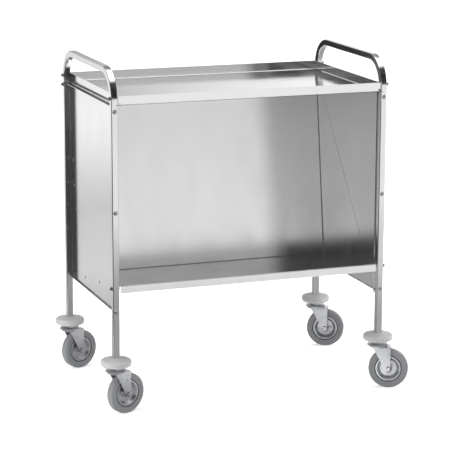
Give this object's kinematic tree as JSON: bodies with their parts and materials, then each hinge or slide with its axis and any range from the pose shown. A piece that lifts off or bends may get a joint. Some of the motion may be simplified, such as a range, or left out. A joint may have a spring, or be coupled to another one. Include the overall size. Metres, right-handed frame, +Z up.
{
  "type": "serving trolley",
  "caption": "Stainless steel serving trolley with a shallow top tray, a leaning back and shelf between side panels, bent tube handles and swivel casters under round bumpers.",
  "frame": {"origin": "on the floor, midway between the four swivel axes", "axes": "+X across to the right, -Y towards the open front, +Z up"},
  "size_m": [0.9975, 0.6086, 1.05],
  "materials": {
    "stainless_tube": "satin stainless steel tube",
    "stainless_sheet": "bright satin stainless steel sheet",
    "stainless_fastener": "bright stainless steel",
    "zinc_steel": "bright zinc plated steel",
    "bumper_plastic": "pale grey plastic with a light grain",
    "plug_plastic": "moulded plastic",
    "hub_plastic": "moulded plastic",
    "tyre_rubber": "mid grey non-marking rubber"
  },
  "bodies": {
    "trolley": {"side_frame_left": "stainless_tube", "side_frame_right": "stainless_tube", "top_tray": "stainless_sheet", "side_panel_left": "stainless_sheet", "side_panel_right": "stainless_sheet", "back_and_shelf": "stainless_sheet", "tray_screws": "stainless_fastener", "shelf_screws": "stainless_fastener", "back_screws": "stainless_fastener", "cap_nuts": "stainless_fastener", "panel_screws": "stainless_fastener", "panel_nuts": "stainless_fastener", "rivets": "stainless_fastener", "leg_plugs": "plug_plastic", "stem_nuts": "zinc_steel", "swivel_pin_front_left": "zinc_steel", "swivel_head_front_left": "zinc_steel", "bumper_front_left": "bumper_plastic", "swivel_pin_front_right": "zinc_steel", "swivel_head_front_right": "zinc_steel", "bumper_front_right": "bumper_plastic", "swivel_pin_rear_left": "zinc_steel", "swivel_head_rear_left": "zinc_steel", "bumper_rear_left": "bumper_plastic", "swivel_pin_rear_right": "zinc_steel", "swivel_head_rear_right": "zinc_steel", "bumper_rear_right": "bumper_plastic"},
    "swivel_front_left": {"fork_front_left": "zinc_steel", "ball_race_front_left": "zinc_steel", "axle_bolt_front_left": "zinc_steel", "axle_nut_front_left": "zinc_steel", "axle_sleeve_front_left": "zinc_steel"},
    "wheel_front_left": {"wheel_hub_front_left": "hub_plastic", "rim_dishes_front_left": "zinc_steel", "tyre_front_left": "tyre_rubber"},
    "swivel_front_right": {"fork_front_right": "zinc_steel", "ball_race_front_right": "zinc_steel", "axle_bolt_front_right": "zinc_steel", "axle_nut_front_right": "zinc_steel", "axle_sleeve_front_right": "zinc_steel"},
    "wheel_front_right": {"wheel_hub_front_right": "hub_plastic", "rim_dishes_front_right": "zinc_steel", "tyre_front_right": "tyre_rubber"},
    "swivel_rear_left": {"fork_rear_left": "zinc_steel", "ball_race_rear_left": "zinc_steel", "axle_bolt_rear_left": "zinc_steel", "axle_nut_rear_left": "zinc_steel", "axle_sleeve_rear_left": "zinc_steel"},
    "wheel_rear_left": {"wheel_hub_rear_left": "hub_plastic", "rim_dishes_rear_left": "zinc_steel", "tyre_rear_left": "tyre_rubber"},
    "swivel_rear_right": {"fork_rear_right": "zinc_steel", "ball_race_rear_right": "zinc_steel", "axle_bolt_rear_right": "zinc_steel", "axle_nut_rear_right": "zinc_steel", "axle_sleeve_rear_right": "zinc_steel"},
    "wheel_rear_right": {"wheel_hub_rear_right": "hub_plastic", "rim_dishes_rear_right": "zinc_steel", "tyre_rear_right": "tyre_rubber"}
  },
  "joints": [
    {"name": "swivel_front_left", "type": "hinge", "parent": "trolley", "child": "swivel_front_left", "pos_m": [-0.43, -0.254, 0.131], "axis": [0, 0, 1], "continuous": true},
    {"name": "roll_front_left", "type": "hinge", "parent": "swivel_front_left", "child": "wheel_front_left", "pos_m": [-0.39732, -0.24146, 0.0625], "axis": [-0.3584, 0.9336, 0], "continuous": true},
    {"name": "swivel_front_right", "type": "hinge", "parent": "trolley", "child": "swivel_front_right", "pos_m": [0.43, -0.254, 0.131], "axis": [0, 0, 1], "continuous": true},
    {"name": "roll_front_right", "type": "hinge", "parent": "swivel_front_right", "child": "wheel_front_right", "pos_m": [0.46119, -0.26989, 0.0625], "axis": [0.454, 0.891, 0], "continuous": true},
    {"name": "swivel_rear_left", "type": "hinge", "parent": "trolley", "child": "swivel_rear_left", "pos_m": [-0.43, 0.254, 0.131], "axis": [0, 0, 1], "continuous": true},
    {"name": "roll_rear_left", "type": "hinge", "parent": "swivel_rear_left", "child": "wheel_rear_left", "pos_m": [-0.39732, 0.26654, 0.0625], "axis": [-0.3584, 0.9336, 0], "continuous": true},
    {"name": "swivel_rear_right", "type": "hinge", "parent": "trolley", "child": "swivel_rear_right", "pos_m": [0.43, 0.254, 0.131], "axis": [0, 0, 1], "continuous": true},
    {"name": "roll_rear_right", "type": "hinge", "parent": "swivel_rear_right", "child": "wheel_rear_right", "pos_m": [0.46119, 0.23811, 0.0625], "axis": [0.454, 0.891, 0], "continuous": true}
  ]
}
